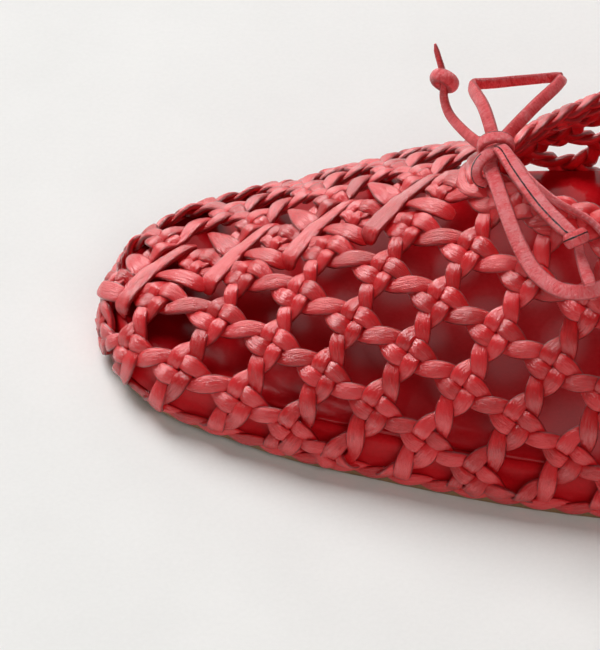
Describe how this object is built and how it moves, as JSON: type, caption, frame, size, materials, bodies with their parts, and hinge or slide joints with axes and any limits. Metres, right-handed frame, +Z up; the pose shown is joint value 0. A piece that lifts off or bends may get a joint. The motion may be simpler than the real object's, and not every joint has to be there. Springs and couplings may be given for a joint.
{
  "type": "woven leather slip-on shoe",
  "caption": "Low slip-on shoe for the left foot: open woven leather upper with a braided collar edge, thin sole with a low heel, and a lace bow at the throat.",
  "frame": {"origin": "middle of the shoe's box on the floor, with the bow left out", "axes": "+X from the toe to the heel, +Y from the outer to the inner side of the foot, +Z up"},
  "size_m": [0.2532, 0.0822, 0.0575],
  "materials": {
    "woven_leather": "semi-gloss red",
    "sole_leather": "matte brown",
    "heel_stack": "matte brown",
    "footbed_leather": "semi-gloss red",
    "sock_leather": "matte dusty red",
    "lace_leather": "semi-gloss red"
  },
  "bodies": {
    "root": {"upper": "woven_leather", "outsole": "sole_leather", "heel": "heel_stack", "footbed": "footbed_leather", "sock": "sock_leather", "bow_knot": "lace_leather", "bow_loop_far": "lace_leather", "bow_loop_near": "lace_leather", "bow_end_far": "lace_leather", "bow_end_near": "lace_leather", "bow_end_knot_far": "lace_leather", "bow_end_knot_near": "lace_leather", "bow_tail_far": "lace_leather", "bow_tail_near": "lace_leather"}
  },
  "joints": []
}
